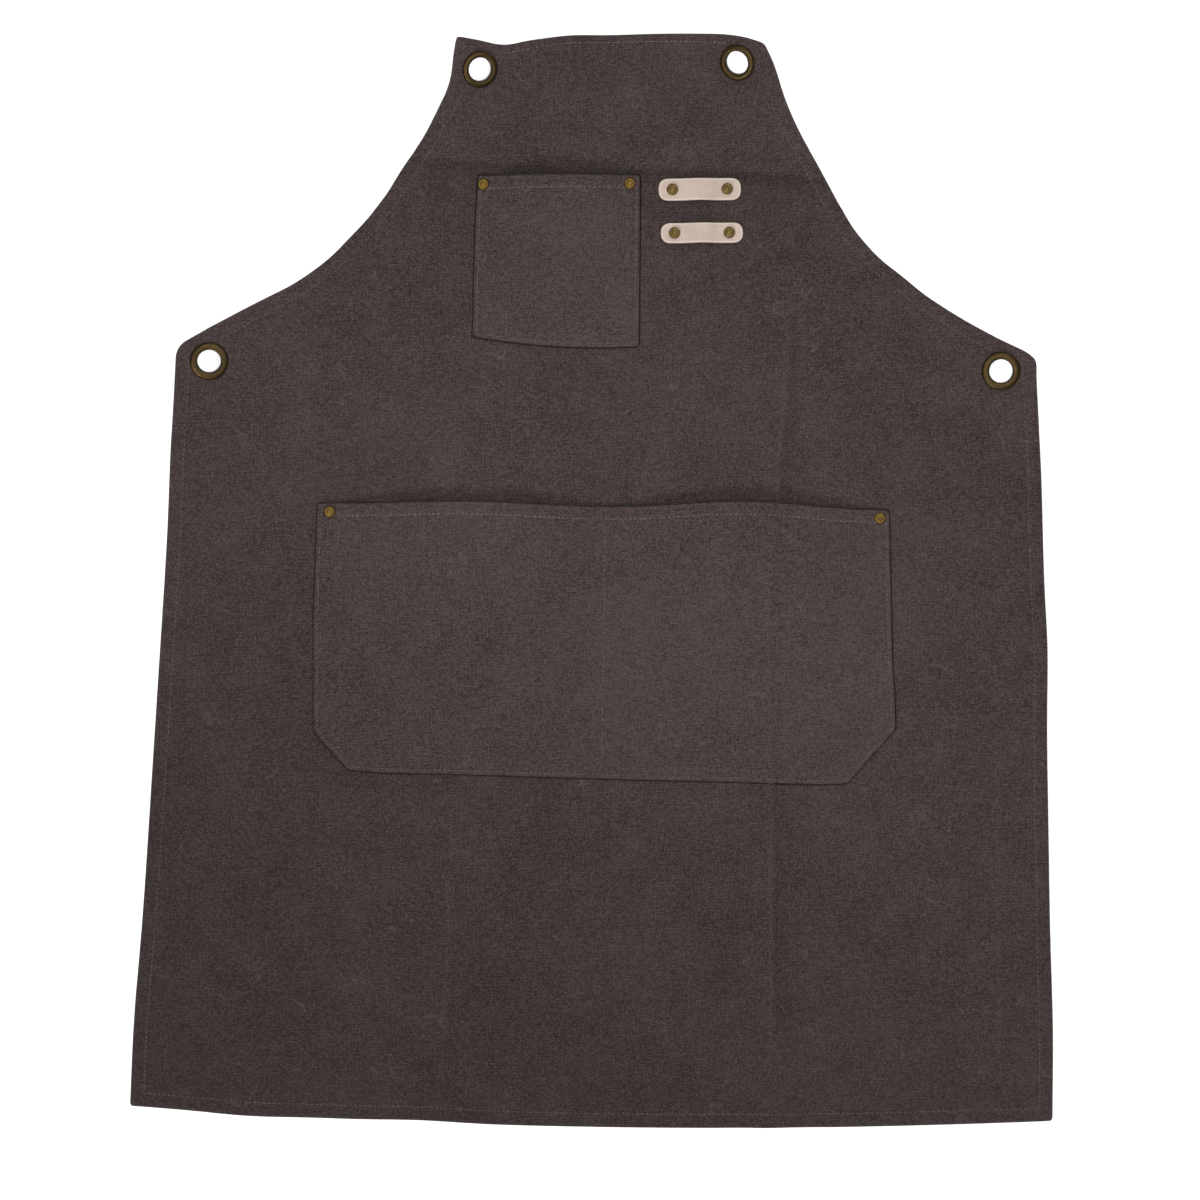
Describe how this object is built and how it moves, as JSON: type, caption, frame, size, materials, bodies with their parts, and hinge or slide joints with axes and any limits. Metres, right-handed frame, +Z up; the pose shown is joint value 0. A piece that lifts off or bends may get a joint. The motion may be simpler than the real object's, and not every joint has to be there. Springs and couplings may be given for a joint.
{
  "type": "canvas apron",
  "caption": "Bib apron of washed canvas laid out flat, with a chest pocket, a divided waist pocket, riveted leather tool loops and brass eyelets at its corners for straps.",
  "frame": {"origin": "middle of the laid-out apron's box, on the surface that it lies on", "axes": "+X to the right as its face is seen, +Y to the top of the bib, +Z up from the surface, out of its face"},
  "size_m": [0.674, 0.8, 0.0342],
  "materials": {
    "canvas": "washed, matt, with paler rubbed creases",
    "pocket_canvas": "washed, matt, a little paler than the body",
    "leather": "undyed, smooth, paler at its cut edges",
    "eyelet_brass": "dark antique",
    "rivet_brass": "antique"
  },
  "bodies": {
    "root": {"apron_body": "canvas", "chest_pocket": "pocket_canvas", "waist_pocket": "pocket_canvas", "leather_tab_upper": "leather", "leather_tab_lower": "leather", "eyelet_bib_left": "eyelet_brass", "eyelet_bib_right": "eyelet_brass", "eyelet_waist_left": "eyelet_brass", "eyelet_waist_right": "eyelet_brass", "washer_bib_left": "eyelet_brass", "washer_bib_right": "eyelet_brass", "washer_waist_left": "eyelet_brass", "washer_waist_right": "eyelet_brass", "rivet_chest_left": "rivet_brass", "rivet_chest_right": "rivet_brass", "rivet_waist_left": "rivet_brass", "rivet_waist_right": "rivet_brass", "rivet_upper_left": "rivet_brass", "rivet_upper_right": "rivet_brass", "rivet_lower_left": "rivet_brass", "rivet_lower_right": "rivet_brass"}
  },
  "joints": []
}
